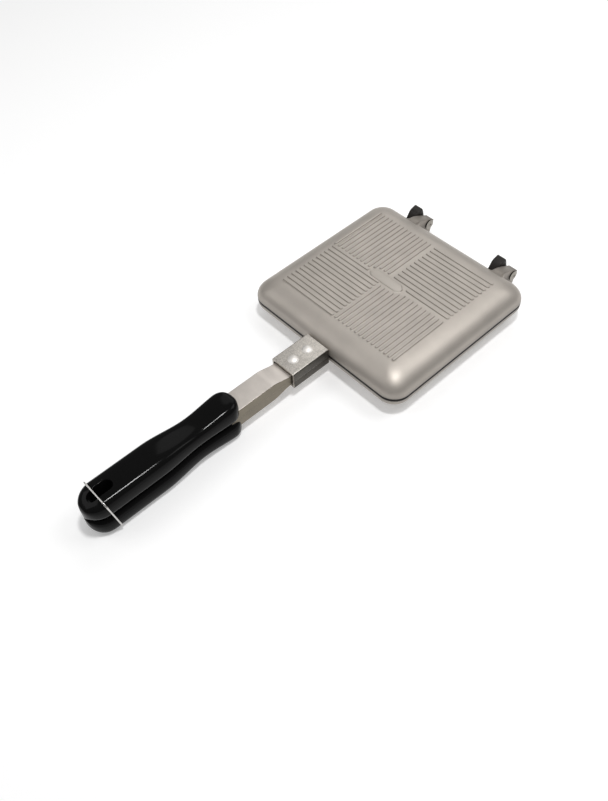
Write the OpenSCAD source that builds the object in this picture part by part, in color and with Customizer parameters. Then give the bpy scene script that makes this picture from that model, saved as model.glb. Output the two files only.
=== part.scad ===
// Hinged toasting iron for a camp stove or fire.
// Two identical square cast shells face each other across a parting plane and fold
// together on two hinge pins. Each shell is riveted to a folded steel bracket and a
// bent steel shank that ends in a moulded grip. A wire latch holds the grips shut.
// Origin: centre of the lower shell's flat outer face. +Y to the hinge, +Z up.

/* [Shells] */
// Width of a shell along the hinge line
shell_w = 140; // [128:1:160]
// Length of a shell from the shank side to the hinge side
shell_d = 133; // [122:1:155]
// Depth of one shell from its rim to its flat outer face
half_h = 15; // [14:0.5:20]
// Wall thickness of the casting
wall = 2.5; // [2.2:0.1:3]
// Width of the flat sealing rim
rim_w = 4; // [3:0.5:6]
// Plan radius of the corners at the rim
corner_r = 14.5; // [11:0.5:24]
// Plan radius of the corners of the flat outer face
flat_corner_r = 3; // [1:0.5:6]
// Width of the curved shoulder between the rim and the flat outer face
shoulder_w = 21; // [18:0.5:24]
// Height of the upright lip at the rim
lip_h = 2; // [1:0.5:3]

/* [Ribs] */
// Width of a rib on the outer face
rib_w = 2.1; // [1.4:0.1:2.6]
// Height of a rib
rib_t = 0.7; // [0.4:0.1:1]
// Spacing of the ribs that run towards the hinge
rib_px = 3.75; // [3.2:0.05:5]
// Spacing of the ribs that run across
rib_py = 4; // [3.2:0.05:5]
// Distance of the ribs from the edge of the shell
rib_in = 18; // [17:0.5:24]
// Length of the plain six-sided field in the middle
field_l = 28.6; // [22:0.2:36]
// Width of the plain field
field_w = 7.6; // [5:0.2:10]

/* [Hinge] */
// Distance of each hinge's middle from the centre line
hinge_x = 39.5; // [30:0.5:46]
// Distance of the pin axis behind the rim
hinge_out = 11; // [10:0.5:14]
// Width of one lug
lug_w = 7.7; // [6:0.1:9]
// Radius of a lug round its pin
lug_r = 8; // [6.5:0.1:9]
// Radius of a hinge pin
pin_r = 2.4; // [1.8:0.1:2.8]
// Radius of a hinge pin's head
pin_head_r = 3.4; // [3.1:0.1:3.6]

/* [Bracket and shank] */
// Thickness of the steel sheet
sheet = 1.5; // [1:0.1:1.8]
// Outside width of a shank
shank_w = 16; // [14:0.5:18]
// Length of a bracket
bracket_l = 31; // [26:1:38]
// Length of the cast tongue that the bracket is riveted to
tongue_l = 27; // [23:1:34]
// Thickness of the cast tongue
tongue_t = 2.4; // [1.8:0.1:3]
// Radius of a rivet's shaft
rivet_r = 2; // [1.5:0.1:2.5]
// Radius of a rivet's domed head
rivet_head_r = 3.9; // [3:0.1:4.5]
// Distance of the first rivet from the rim
rivet_in = 9.5; // [8:0.5:11]
// Spacing of the two rivets
rivet_pitch = 12.5; // [10:0.5:14]
// Height that a shank steps out beyond its bracket
shank_step = 3.1; // [2:0.1:4]
// Length of the step
shank_step_l = 11; // [8:0.5:16]
// Length of shank that shows between bracket and grip
shank_l = 42; // [34:1:70]
// Length of the tang inside the grip
tang_l = 78; // [50:1:84]
// Width of the tang
tang_w = 11; // [8:0.5:13]

/* [Grips] */
// Length of a grip
grip_l = 113; // [104:1:130]
// Half width of a grip near its butt
grip_rear_w = 11; // [10.5:0.1:13]
// Half width at the waist
grip_waist_w = 9.8; // [9.6:0.1:11]
// Half width near the front
grip_front_w = 10.6; // [10.2:0.1:12]
// Depth that the waist is let into the outer side
waist_dip = 1.6; // [0:0.1:2]
// Distance of the waist from the front end
waist_y = 30; // [24:1:40]
// Radius of the edges at the parting side
grip_edge_r = 1.8; // [1:0.1:2.5]
// Length of the hanging slot
slot_l = 17.5; // [12:0.5:19]
// Width of the hanging slot
slot_w = 7.5; // [5:0.5:8]
// Distance of the slot's middle from the butt
slot_in = 14.5; // [13:0.5:16]
// Radius of the grip screw's shaft
screw_r = 1.9; // [1.5:0.1:2.2]
// Radius of the grip screw's head
screw_head_r = 3.6; // [3:0.1:4]

/* [Latch] */
// Radius of the latch wire
wire_r = 0.85; // [0.7:0.05:1.1]
// Distance of the latch pivot from the butt
pivot_in = 15.5; // [14.5:0.5:17]
// Height of the latch pivot above the lower grip's outer side
pivot_h = 3.2; // [2.5:0.1:4]
// Angle that the closed latch leans back
latch_lean = 9; // [6:1:11]
// Depth of the seat that the bar drops into
seat_t = 0.7; // [0.4:0.1:1]
// Radius of the wire's bends, to its middle
wire_bend_r = 1.6; // [1.2:0.1:1.7]
// Length of the wire's ends inside the lower grip
wire_end_l = 4.6; // [3:0.1:4.8]

/* [Clearances] */
// Gap between the closed rims
rim_gap = 0.3; // [0.2:0.05:0.6]
// Gap between the two grips
grip_gap = 1.6; // [1:0.1:2.4]
// Side gap between the two lugs of a hinge
lug_gap = 0.5; // [0.3:0.1:1]
// Radial clearance of a pin, rivet or screw in its hole
hole_clear = 0.05; // [0.02:0.01:0.1]
// Gap between nested pieces of one half
seat_gap = 0.05; // [0.02:0.01:0.1]
// Gap between moving pieces that don't touch
move_gap = 0.3; // [0.25:0.05:0.5]

/* [Hidden] */
$fn = 48;
arc_steps = 8;        // points on a shoulder's curve and on a corner's
over = 1;             // how far a cut runs past a face
fold_r = 1.1;         // outer radius of a fold in the sheet
fold_in_r = 0.4;      // its inner radius

// Heights above the parting plane, the same for both halves
rim_z = rim_gap / 2;
face_z = rim_z + half_h;
flat_z = face_z - rib_t;
tongue_z = rim_z + 0.15;
shank_top_1 = tongue_z + tongue_t + seat_gap + sheet;
shank_top_2 = shank_top_1 + shank_step;
bracket_top = shank_top_1 + seat_gap + sheet;
flange_z = tongue_z;

// Stations along Y, measured from the middle of the shells
rim_y = -shell_d / 2;
bracket_y0 = rim_y - 0.2;
bracket_y1 = bracket_y0 - bracket_l;
shank_y0 = bracket_y0 - 1.5;
bend_y0 = bracket_y1 - 1.5;
bend_y1 = bend_y0 - shank_step_l;
grip_y0 = bracket_y1 - shank_l;
grip_y1 = grip_y0 - grip_l;
mouth_l = 9;
tang_y1 = grip_y0 - tang_l;
slot_y = grip_y1 + slot_in;
screw_y = grip_y0 - 0.62 * tang_l;
rivet_y = [rim_y - rivet_in, rim_y - rivet_in - rivet_pitch];

// Hinge
pin_y = shell_d / 2 + hinge_out;
lug_end = 5.4;
lug_top_root = 8.4;
lug_top_end = 2.6;
head_t = 1;

// Grip heights
grip_z0 = grip_gap / 2;
grip_h = face_z - 0.1;
tang_top = shank_top_2;
screw_seat_z = 3.2;
screw_tip_z = grip_h - waist_dip - 2;

// Latch
pivot_y = grip_y1 + pivot_in;
pivot_z = -grip_h + pivot_h;
bar_reach = (grip_h - seat_t - pivot_z) / cos(latch_lean) + move_gap + wire_r;
relief_r = bar_reach - wire_r - move_gap;
leg_x = grip_rear_w + move_gap + wire_r;

// ---- placing the two halves -------------------------------------------------

// Pieces are drawn above the parting plane. The lower half is the same half
// turned over about the Y axis, so the two sets of hinge lugs interleave.
module as_upper() translate([0, 0, face_z]) children();
module as_lower() translate([0, 0, face_z]) rotate([0, 180, 0]) children();

// ---- shells -----------------------------------------------------------------

// A solid through a list of rings, each with the same number of points
module loft(rings) {
    n = len(rings[0]);
    last = n * (len(rings) - 1);
    sides = [for (i = [0 : len(rings) - 2], k = [0 : n - 1])
        let (a = i * n + k, b = i * n + (k + 1) % n)
        each [[a, a + n, b], [b, a + n, b + n]]];
    polyhedron([for (ring = rings, p = ring) p],
               concat([[for (k = [0 : n - 1]) k]], sides, [[for (k = [n - 1 : -1 : 0]) last + k]]));
}

// A rectangle with round corners at the height z
function round_ring(w, d, r, z) = [
    for (c = [[1, -1, -90], [1, 1, 0], [-1, 1, 90], [-1, -1, 180]], i = [0 : arc_steps])
        let (a = c[2] + 90 * i / arc_steps)
        [c[0] * (w / 2 - r) + r * cos(a), c[1] * (d / 2 - r) + r * sin(a), z]];

// A square block whose upright lip turns into elliptical shoulders of the width sh.
// Its corners tighten on the way up, from the radius r to r1.
module dished_block(w, d, r, r1, sh, z0, lip, z1)
    loft(concat([round_ring(w, d, r, z0)],
        [for (i = [0 : arc_steps])
            let (a = 90 * i / arc_steps, in = sh * (1 - cos(a)))
            round_ring(w - 2 * in, d - 2 * in, r + (r1 - r) * in / sh,
                       z0 + lip + (z1 - z0 - lip) * sin(a))]));

// Even steps from a to b, as near to the pitch as a whole number allows
function spread(a, b, pitch) = let (n = round(abs(b - a) / pitch)) [for (i = [0 : n]) a + (b - a) * i / n];

// One straight rib with blunt ends. It is let into the shell, whose top falls away
// towards the shoulder.
module rib(x0, y0, x1, y1) {
    c = 0.3 * rib_w;
    translate([0, 0, flat_z - 0.6]) linear_extrude(rib_t + 0.6)
        polygon([[x0 + c, y0], [x1 - c, y0], [x1, y0 + c], [x1, y1 - c],
                 [x1 - c, y1], [x0 + c, y1], [x0, y1 - c], [x0, y0 + c]]);
}

// Where the ribs that meet the plain field end, for a rib at x
field_x = -2;
function field_edge(x) = min(field_w / 2 + 2, max(1.6, field_w / 2 + 7.8 - 0.55 * abs(x - field_x)));

// Four quarters of straight ribs, each turned a quarter from the next, round a plain field
module rib_pattern() {
    half_x = shell_w / 2 - rib_in;
    half_y = shell_d / 2 - rib_in;
    for (x = spread(-4.6, -half_x - 1.3, rib_px)) rib(x - rib_w, field_edge(x - 1), x, half_y + 0.4);
    for (x = spread(-0.8, half_x - 0.3, rib_px)) rib(x - rib_w, -half_y - 0.4, x, -field_edge(x - 1));
    for (y = spread(1.8, half_y - rib_w + 0.2, rib_py))
        rib(y < field_w / 2 ? field_l / 2 : -0.8, y, half_x, y + rib_w);
    for (y = spread(-1.8, -half_y - 0.4, rib_py))
        rib(-half_x - 1.3, y, y > -field_w / 2 ? field_x - field_l / 2 - 1.6 : -4.2, y + rib_w);
    tip = field_l / 2;
    side = field_w / 2;
    translate([field_x, 0, flat_z - 0.6]) linear_extrude(rib_t + 0.6)
        polygon([[tip, -1], [tip, 1], [tip - 3.3, side], [3.3 - tip, side],
                 [-tip, 1], [-tip, -1], [3.3 - tip, -side], [tip - 3.3, -side]]);
}

// Extrudes a Y-Z outline along X
module side_extrude(x0, w) translate([x0, 0, 0]) rotate([90, 0, 90]) linear_extrude(w) children();

// One lug: it slopes on its own shell's side and wraps round the pin on the other
module hinge_lug(x0) {
    root_y = shell_d / 2 - rim_w / 2;
    low = -lug_r - over;
    intersection() {
        union() {
            translate([x0, pin_y, 0]) rotate([0, 90, 0]) cylinder(r = lug_r, h = lug_w);
            side_extrude(x0, lug_w) translate([root_y, rim_z + 0.1])
                square([pin_y - root_y, lug_top_root]);
        }
        side_extrude(x0 - over, lug_w + 2 * over)
            polygon([[root_y - over, low], [root_y - over, lug_top_root],
                     [pin_y + lug_end, lug_top_end], [pin_y + lug_end, low]]);
    }
}

// The bore of a lug and the recess for the pin's head in its outer side
module lug_bore(x0) translate([x0, pin_y, 0]) rotate([0, 90, 0]) {
    translate([0, 0, -over]) cylinder(r = pin_r + hole_clear, h = lug_w + 2 * over);
    translate([0, 0, lug_w - head_t]) cylinder(r = pin_head_r + move_gap, h = head_t + over);
}

module shell_half() {
    lug_x = [-hinge_x + lug_gap / 2, hinge_x + lug_gap / 2];
    difference() {
        union() {
            dished_block(shell_w, shell_d, corner_r, flat_corner_r, shoulder_w, rim_z, lip_h, flat_z);
            rib_pattern();
            for (x = lug_x) hinge_lug(x);
            translate([-tongue_w() / 2, rim_y - tongue_l, tongue_z])
                cube([tongue_w(), tongue_l + rim_w / 2, tongue_t]);
        }
        dished_block(shell_w - 2 * rim_w, shell_d - 2 * rim_w, corner_r - rim_w, flat_corner_r,
                     shoulder_w - rim_w, rim_z - over, lip_h + over, flat_z - wall);
        for (x = lug_x) lug_bore(x);
        for (y = rivet_y) rivet_hole(y);
    }
}

module lower_plate() color("dimgray") as_lower() shell_half();
module upper_plate() color("silver") as_upper() shell_half();

// ---- bracket, shank and rivets ----------------------------------------------

function tongue_w() = shank_w - 2 * sheet - 2 * seat_gap;
function bracket_w() = shank_w + 2 * seat_gap + 2 * sheet;

module rivet_hole(y) translate([0, y, 0]) cylinder(r = rivet_r + hole_clear, h = face_z);

// A rectangle standing on z = z0 whose two upper corners are round
module folded_outline(w, z0, z1, r) {
    translate([-w / 2, z0]) square([w, z1 - r - z0]);
    translate([-w / 2 + r, z0]) square([w - 2 * r, z1 - z0]);
    for (s = [-1, 1]) translate([s * (w / 2 - r), z1 - r]) circle(r);
}

// Extrudes an X-Z outline from y1 up to y0
module long_extrude(y0, y1) translate([0, y0, 0]) rotate([90, 0, 0]) linear_extrude(y0 - y1) children();

module bracket_half() {
    difference() {
        long_extrude(bracket_y0, bracket_y1) folded_outline(bracket_w(), flange_z, bracket_top, fold_r);
        long_extrude(bracket_y0 + over, bracket_y1 - over)
            folded_outline(bracket_w() - 2 * sheet, flange_z - over, bracket_top - sheet, fold_in_r);
        for (y = rivet_y) rivet_hole(y);
    }
}

module lower_bracket() color("lightgray") as_lower() bracket_half();
module upper_bracket() color("lightgray") as_upper() bracket_half();

// The channel of a shank, drawn smaller by t all round: flat inside the bracket,
// a step outwards, and flat again up to y_end
module channel(t, y_start, y_end) {
    w = shank_w - 2 * t;
    z0 = flange_z - (t > 0 ? over : 0);
    r = t > 0 ? fold_in_r : fold_r;
    slice = 0.01;
    long_extrude(y_start, bend_y0) folded_outline(w, z0, shank_top_1 - t, r);
    hull() {
        long_extrude(bend_y0, bend_y0 - slice) folded_outline(w, z0, shank_top_1 - t, r, $fn = 32);
        long_extrude(bend_y1 + slice, bend_y1) folded_outline(w, z0, shank_top_2 - t, r, $fn = 32);
    }
    long_extrude(bend_y1, y_end) folded_outline(w, z0, shank_top_2 - t, r);
}

module shank_half() {
    flange_end = grip_y0 - mouth_l + 1;
    difference() {
        channel(0, shank_y0, flange_end);
        channel(sheet, shank_y0 + over, flange_end - over);
        for (y = rivet_y) rivet_hole(y);
    }
    difference() {
        translate([-tang_w / 2, tang_y1, tang_top - sheet])
            cube([tang_w, flange_end - tang_y1 + over, sheet]);
        translate([0, screw_y, 0]) cylinder(r = screw_r + hole_clear, h = face_z);
    }
}

module lower_shank() color("gainsboro") as_lower() shank_half();
module upper_shank() color("gainsboro") as_upper() shank_half();

// A low dome of radius r and height t
module dome(r, t) {
    ball_r = (r * r + t * t) / (2 * t);
    intersection() {
        cylinder(r = r, h = t);
        translate([0, 0, t - ball_r]) sphere(r = ball_r);
    }
}

module rivet(y) {
    head_h = 1.7;
    translate([0, y, tongue_z]) cylinder(r = rivet_r, h = bracket_top - tongue_z);
    translate([0, y, bracket_top]) dome(rivet_head_r, head_h);
}

module lower_front_rivet() color("white") as_lower() rivet(rivet_y[0]);
module lower_rear_rivet() color("white") as_lower() rivet(rivet_y[1]);
module upper_front_rivet() color("white") as_upper() rivet(rivet_y[0]);
module upper_rear_rivet() color("white") as_upper() rivet(rivet_y[1]);

// ---- hinge pins -------------------------------------------------------------

module hinge_pin(x) {
    shaft_l = lug_gap / 2 + lug_w - head_t + 0.2;
    translate([x, pin_y, face_z]) rotate([0, 90, 0]) {
        translate([0, 0, -shaft_l]) cylinder(r = pin_r, h = 2 * shaft_l);
        translate([0, 0, shaft_l]) dome(pin_head_r, head_t);
        translate([0, 0, -shaft_l]) rotate([180, 0, 0]) dome(pin_head_r, head_t);
    }
}

module left_hinge_pin() color("white") hinge_pin(-hinge_x);
module right_hinge_pin() color("white") hinge_pin(hinge_x);

// ---- grips ------------------------------------------------------------------

function ease(t) = let (c = min(1, max(0, t))) c * c * (3 - 2 * c);
function round_in(s, r) = s >= r ? 1 : sqrt(max(0, 1 - pow(1 - s / r, 2)));

// Half width and outer height of a grip at the distance s from its front end
nose_r = 9.5;
butt_r = 12.5;
edge_drop = 5;
function grip_half_w(s) =
    (grip_waist_w + (grip_front_w - grip_waist_w) * ease((waist_y - s) / (waist_y - nose_r / 2))
        + (grip_rear_w - grip_waist_w) * ease((s - waist_y) / 45))
    * round_in(s, nose_r) * round_in(grip_l - s, butt_r);
function grip_out_z(s) = grip_h
    - waist_dip * ease(1 - abs(s - waist_y) / (s > waist_y ? 45 : 26))
    - edge_drop * (1 - round_in(s, edge_drop)) - edge_drop * (1 - round_in(grip_l - s, edge_drop));

grip_sections = 26;
section_arc = 20;
box_power = 4.6;      // how square a section's outer corners are
function section_s(i) = grip_l * (1 - cos(180 * i / grip_sections)) / 2;
function signed_pow(v, p) = sign(v) * pow(abs(v), p);

// One section: small round edges at the parting side, a squarish curve outside
function grip_section(s) =
    let (tip = 0.35, w = max(tip, grip_half_w(s)), e = min(grip_edge_r, w * 0.9),
         z1 = grip_out_z(s), z_mid = grip_z0 + e, y = grip_y0 - s)
    concat(
        [for (k = [0 : 3]) let (a = -90 + 30 * k) [w - e + e * cos(a), y, z_mid + e * sin(a)]],
        [for (k = [1 : section_arc - 1]) let (a = 180 * k / section_arc)
            [w * signed_pow(cos(a), 2 / box_power), y,
             z_mid + (z1 - z_mid) * pow(sin(a), 2 / box_power)]],
        [for (k = [0 : 3]) let (a = 180 + 30 * k) [-w + e + e * cos(a), y, z_mid + e * sin(a)]]);

module grip_body() loft([for (i = [0 : grip_sections]) grip_section(section_s(i))]);

module grip_half() {
    difference() {
        grip_body();
        translate([-shank_w / 2 - seat_gap, grip_y0 - mouth_l, -over])
            cube([shank_w + 2 * seat_gap, mouth_l + over, tang_top + seat_gap + over]);
        translate([-tang_w / 2 - seat_gap, tang_y1 - seat_gap, tang_top - sheet - seat_gap])
            cube([tang_w + 2 * seat_gap, tang_l, sheet + 2 * seat_gap]);
        translate([0, screw_y, 0]) {
            cylinder(r = screw_r + hole_clear, h = screw_tip_z + seat_gap);
            translate([0, 0, -over]) cylinder(r = screw_head_r + 0.2, h = screw_seat_z + over);
        }
        for (s = [-1, 1]) translate([0, slot_y + s * (slot_l - slot_w) / 2, -over])
            cylinder(d = slot_w, h = face_z + 2 * over);
        translate([-slot_w / 2, slot_y - (slot_l - slot_w) / 2, -over])
            cube([slot_w, slot_l - slot_w, face_z + 2 * over]);
    }
}

// Behind the closed bar the outer side is turned down to the arc that the bar sweeps
module latch_seat() difference() {
    translate([-shell_w / 4, grip_y1 - over, grip_h / 2])
        cube([shell_w / 2, bar_y() + wire_r + move_gap - grip_y1 + over, grip_h]);
    translate([-shell_w / 2, pivot_y, pivot_z]) rotate([0, 90, 0])
        cylinder(r = relief_r, h = shell_w, $fn = 96);
}
function bar_y() = pivot_y - bar_reach * sin(latch_lean);

module lower_grip() color([0.08, 0.08, 0.08]) difference() {
    as_lower() grip_half();
    for (s = [0, 180]) translate([0, pivot_y, face_z + pivot_z]) rotate([0, 90, s])
        translate([0, 0, leg_x - wire_bend_r - wire_end_l - seat_gap])
            cylinder(r = wire_r + hole_clear, h = grip_rear_w);
}

module upper_grip() color([0.08, 0.08, 0.08]) difference() {
    as_upper() grip_half();
    as_upper() latch_seat();
}

module grip_screw() translate([0, screw_y, 0]) difference() {
    union() {
        translate([0, 0, screw_seat_z]) cylinder(r = screw_r, h = screw_tip_z - screw_seat_z);
        translate([0, 0, screw_seat_z - 2]) cylinder(r = screw_head_r, h = 2);
    }
    translate([-screw_head_r - over, -0.45, screw_seat_z - 2 - over])
        cube([2 * (screw_head_r + over), 0.9, over + 0.9]);
}

module lower_grip_screw() color("silver") as_lower() grip_screw();
module upper_grip_screw() color("silver") as_upper() grip_screw();

// ---- latch ------------------------------------------------------------------

module wire_run(l) cylinder(r = wire_r, h = l);
module wire_bend() rotate_extrude(angle = 90) translate([wire_bend_r, 0]) circle(wire_r);

// One side of the bail, drawn upright over its pivot
module bail_side() {
    leg_l = bar_reach - 2 * wire_bend_r;
    translate([leg_x - wire_bend_r - wire_end_l, 0, 0]) rotate([0, 90, 0]) wire_run(wire_end_l);
    translate([leg_x - wire_bend_r, 0, wire_bend_r]) rotate([-90, 0, 0]) wire_bend();
    translate([leg_x, 0, wire_bend_r]) wire_run(leg_l);
    translate([leg_x - wire_bend_r, 0, bar_reach - wire_bend_r]) rotate([90, 0, 0]) wire_bend();
    translate([-0.01, 0, bar_reach]) rotate([0, 90, 0]) wire_run(leg_x - wire_bend_r + 0.01);
}

module wire_latch() color("white")
    translate([0, pivot_y, face_z + pivot_z]) rotate([latch_lean, 0, 0]) {
        bail_side();
        mirror([1, 0, 0]) bail_side();
    }

// ---- the whole object -------------------------------------------------------

lower_plate();
upper_plate();
lower_bracket();
upper_bracket();
lower_shank();
upper_shank();
lower_front_rivet();
lower_rear_rivet();
upper_front_rivet();
upper_rear_rivet();
lower_grip();
upper_grip();
lower_grip_screw();
upper_grip_screw();
left_hinge_pin();
right_hinge_pin();
wire_latch();
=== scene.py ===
"""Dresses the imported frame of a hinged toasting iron: two ribbed cast shells that fold
together on two pins, with riveted steel shanks, moulded grips and a wire latch.

Sizes are in millimetres, as in the solids, and become metres when a mesh is made.
Each half is drawn once, above the plane in which the two shells meet, and the lower
half is the same half turned over about the Y axis.
"""
import math
from collections import namedtuple

import bmesh
import bpy
from mathutils import Matrix, Vector


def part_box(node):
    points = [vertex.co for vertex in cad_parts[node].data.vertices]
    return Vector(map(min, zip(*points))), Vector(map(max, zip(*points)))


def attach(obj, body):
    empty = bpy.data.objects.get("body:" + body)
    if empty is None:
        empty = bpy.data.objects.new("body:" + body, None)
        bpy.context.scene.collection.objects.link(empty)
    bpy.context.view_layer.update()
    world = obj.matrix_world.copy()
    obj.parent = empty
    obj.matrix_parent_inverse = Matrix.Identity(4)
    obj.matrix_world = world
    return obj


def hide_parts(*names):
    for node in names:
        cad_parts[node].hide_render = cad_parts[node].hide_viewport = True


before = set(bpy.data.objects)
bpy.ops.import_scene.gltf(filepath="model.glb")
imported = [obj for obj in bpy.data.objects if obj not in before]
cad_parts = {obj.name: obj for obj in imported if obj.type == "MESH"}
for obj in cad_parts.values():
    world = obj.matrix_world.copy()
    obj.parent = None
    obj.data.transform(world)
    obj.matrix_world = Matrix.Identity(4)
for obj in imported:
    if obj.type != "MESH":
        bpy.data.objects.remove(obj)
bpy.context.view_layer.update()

bl_info = {
    "name": "Toasting Iron Dresser",
    "version": (1, 0, 0),
    "blender": (4, 5, 0),
    "location": "View3D > Sidebar > Toasting Iron",
    "description": "Builds the visible pieces and finishes of a hinged toasting iron",
    "category": "Object",
}

MM = 0.001
HALVES = ("lower", "upper")


def node_mm(node):
    """Lowest and highest corner of a solid of the frame, in millimetres."""
    low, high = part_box(node)
    return low / MM, high / MM


PLATE_LOW, PLATE_HIGH = node_mm("upper_plate")
BRACKET_LOW, BRACKET_HIGH = node_mm("upper_bracket")
SHANK_LOW, SHANK_HIGH = node_mm("upper_shank")
GRIP_LOW, GRIP_HIGH = node_mm("lower_grip")
PIN_LOW, PIN_HIGH = node_mm("right_hinge_pin")

# The plane in which the shells meet: half way up the closed iron
PARTING_Z = PLATE_HIGH.z / 2
FACE_Z = PLATE_HIGH.z - PARTING_Z
PIN_X = (PIN_LOW.x + PIN_HIGH.x) / 2
PIN_Y = (PIN_LOW.y + PIN_HIGH.y) / 2


# ---- sizes and colours -------------------------------------------------------


def length(name, value, about):
    """A size in millimetres that a user can change."""
    return bpy.props.FloatProperty(
        name=name, description=about + ", in millimetres", default=value, min=0)


def angle(name, degrees, about):
    """An angle that a user can change."""
    return bpy.props.FloatProperty(
        name=name, description=about, default=math.radians(degrees),
        subtype="ANGLE", unit="ROTATION")


def point(name, value, about):
    """A point in millimetres that a user can move."""
    return bpy.props.FloatVectorProperty(
        name=name, description=about + ", in millimetres", default=value, subtype="XYZ")


def colour(name, value, about):
    """A colour given as an sRGB hex value."""
    return bpy.props.StringProperty(name=name, description=about, default=value)


class IRON_PG_shells(bpy.types.PropertyGroup):
    width: length("Width", PLATE_HIGH.x - PLATE_LOW.x, "Width of a shell along the hinge line")
    depth: length("Depth", 133, "Length of a shell from the shank side to the hinge side")
    rim_z: length("Rim height", 0.15, "Height of the rim above the parting plane")
    lip: length("Lip", 1.5, "Height of the upright lip at the rim")
    # seam_shade_lap is the height up the lip's outside that takes the black coat, a painted shade
    # along the seam
    seam_shade_lap: length("Coat lap", 1, "Height that the coat laps over the outside of the lip")
    wall: length("Wall", 2.5, "Thickness of the casting")
    rim: length("Rim width", 4, "Width of the flat sealing rim")
    shoulder: length("Shoulder", 21, "Width of the curved shoulder")
    corner: length("Corner radius", 12.5, "Plan radius of the corners at the rim")
    flat_corner: length("Inner corner radius", 3, "Plan radius where the shoulders meet the flat")
    rib_w: length("Rib width", 2.1, "Width of a rib")
    rib_t: length("Rib height", 0.7, "Height of a rib")
    rib_px: length("Rib pitch along", 3.75, "Spacing of the ribs that run towards the hinge")
    rib_py: length("Rib pitch across", 4, "Spacing of the ribs that run across")
    rib_in: length("Rib margin", 18, "Distance of the ribs from the edge of the shell")
    field_l: length("Field length", 28.6, "Length of the plain field in the middle")
    field_w: length("Field width", 7.6, "Width of the plain field in the middle")


class IRON_PG_hinge(bpy.types.PropertyGroup):
    middle_x: length("Hinge place", PIN_X, "Distance of a hinge from the centre line")
    lug_w: length("Lug width", 7.7, "Width of one lug")
    lug_gap: length("Lug gap", 0.5, "Gap between the two lugs of a hinge")
    pin_r: length("Pin radius", 2.4, "Radius of a pin's shaft")
    head_r: length("Head radius", 3.8, "Radius of a pin's head")
    head_t: length("Head height", 1.4, "Height of a pin's domed head")


class IRON_PG_steel(bpy.types.PropertyGroup):
    sheet: length("Sheet", 1.5, "Thickness of the folded sheet")
    bracket_w: length("Bracket width", BRACKET_HIGH.x - BRACKET_LOW.x + 1.8,
                      "Width of a bracket")
    bracket_h: length("Bracket height", BRACKET_HIGH.z - PARTING_Z + 0.9,
                      "Height of a bracket over the parting plane")
    fold: length("Fold radius", 1.1, "Outer radius of a fold")
    tongue_t: length("Tongue", 2.4, "Thickness of the cast tongue under the bracket")
    tang_w: length("Tang width", 11, "Width of the shank's tang inside the grip")
    rivet_in: length("First rivet", 9.5, "Distance of the first rivet from the rim")
    rivet_pitch: length("Rivet pitch", 12.5, "Spacing of the two rivets")
    rivet_r: length("Rivet head radius", 3.9, "Radius of a rivet's domed head")
    rivet_t: length("Rivet head height", 1.5, "Height of a rivet's domed head")


class IRON_PG_grips(bpy.types.PropertyGroup):
    nose: length("Nose", 1.6, "How far the front end reaches past the solid's")
    rear_w: length("Rear half width", 11.6, "Half width of a grip near its butt")
    waist_w: length("Waist half width", 9.5, "Half width of a grip at its waist")
    front_w: length("Front half width", 10.6, "Half width of a grip near its front")
    waist_dip: length("Waist dip", 2.2, "Depth of the waist in the outer side")
    waist_y: length("Waist place", 33, "Distance of the waist from the front")
    gap: length("Grip gap", 1.6, "Gap between the two grips")
    edge_r: length("Edge radius", 4.4, "Radius of the edges at the parting side")
    slot_l: length("Slot length", 17.5, "Length of the hanging slot")
    slot_w: length("Slot width", 7.5, "Width of the hanging slot")
    slot_in: length("Slot place", 14.5, "Distance of the slot's middle from the butt")


class IRON_PG_latch(bpy.types.PropertyGroup):
    wire_r: length("Wire radius", 0.55, "Radius of the latch wire")
    bend_r: length("Bend radius", 1.6, "Radius of the bends at the pivot, to mid-wire")
    bar_bend_r: length("Bar bend radius", 3.6, "Radius of the bends beside the bar, to mid-wire")
    pivot_in: length("Pivot place", 15.5, "Distance of the pivot from the butt")
    pivot_h: length("Pivot height", 3.2, "Height of the pivot above the lower grip's outer side")
    lean: angle("Lean", 9, "Angle that the closed latch leans back")
    seat_t: length("Seat", 0.7, "Depth of the seat that the bar drops into")
    clearance: length("Clearance", 0.08, "Gap between the wire and the grips")


class IRON_PG_finish(bpy.types.PropertyGroup):
    casting: colour("Casting", "#B9B2AA", "Satin skin of the die-cast aluminium")
    # corners is a painted shade on the walls of the ribs and the field, and on the lugs
    corners: colour("Corners", "#9A938B", "Oxidised skin on the walls of the ribs and lugs")
    coat: colour("Coat", "#1E1B19", "Non-stick coat on the inner side")
    bracket: colour("Bracket", "#C3BEB7", "Satin zinc-plated sheet of the brackets")
    # bracket_flank_shade is a painted shade on the brackets' flanges, a darker copy of the plating
    bracket_flank_shade: colour("Bracket sides", "#5C5954", "Duller plating on the brackets' flanges")
    # shank_flank_shade is a painted shade on the shanks' flanges, a darker copy of the sheet
    shank_flank_shade: colour("Shank sides", "#837C6F", "Flanges of the shanks, left as rolled")
    shank: colour("Shank", "#CCC5BE", "Polished sheet of the shanks")
    rivet: colour("Rivet", "#F0ECE7", "Bright steel of the rivets")
    pin: colour("Pin", "#ADA8A0", "Cold-headed steel of the hinge pins")
    # pin_wall_shade is a painted shade on the upright walls of the pins' heads
    pin_wall_shade: colour("Pin wall", "#3A3733", "Blackened steel beside the pins' heads")
    grip: colour("Grip", "#0C0C0C", "Moulded phenolic of the grips")
    wire: colour("Wire", "#D4D2CF", "Drawn wire of the latch")
    floor: colour("Floor", "#F0F0F0", "Plain floor")


class IRON_PG_stage(bpy.types.PropertyGroup):
    camera_at: point("Camera place", (278.2, -306.8, 429.6), "Where the camera stands")
    camera_aim: point("Camera aim", (26.7, -102.6, 15.15), "Where the camera looks")
    camera_roll: angle("Camera roll", -4.53, "Turn of the camera about its own axis")
    lens: bpy.props.FloatProperty(
        name="Lens", description="Focal length for a 36 mm frame", default=37.23, min=1,
        unit="CAMERA")
    lens_shift: bpy.props.FloatProperty(
        name="Shift", description="Sideways shift of the picture, as a part of its longer side",
        default=-0.002)


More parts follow.
